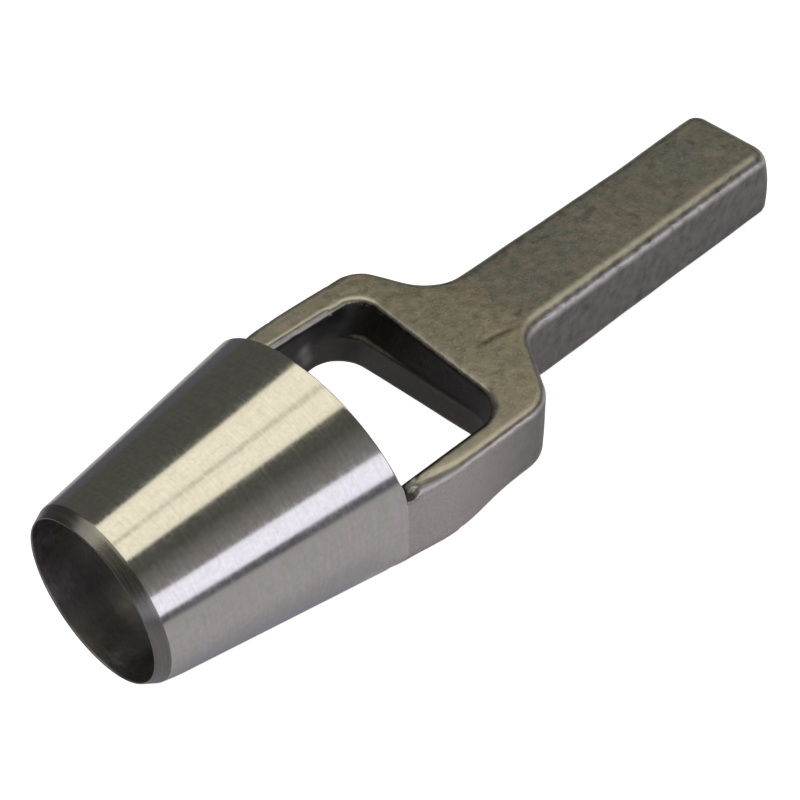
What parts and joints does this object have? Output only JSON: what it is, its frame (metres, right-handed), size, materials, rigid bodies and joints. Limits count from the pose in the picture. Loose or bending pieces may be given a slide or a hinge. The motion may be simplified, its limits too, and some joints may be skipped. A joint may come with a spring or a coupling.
{
  "type": "drive hole punch",
  "caption": "Arch-type drive hole punch: conical ground steel cutting tube welded to a forged arch with an open window and a rectangular struck shank.",
  "frame": {"origin": "centre of the cutting edge, on the axis of the cutting tube", "axes": "+X along the tool's axis from the cutting edge to the struck end, +Y across the arms towards the left arm, +Z normal to the arch"},
  "size_m": [0.145, 0.044, 0.0399],
  "materials": {
    "ground_steel": "ground bright, with fine grinding lines",
    "forged_steel": "forging scale, olive brown, finely pitted",
    "weld_metal": "oxidised weld bead"
  },
  "bodies": {
    "root": {"cutting_tube": "ground_steel", "yoke": "forged_steel", "weld_seam_left": "weld_metal", "weld_seam_right": "weld_metal"}
  },
  "joints": []
}
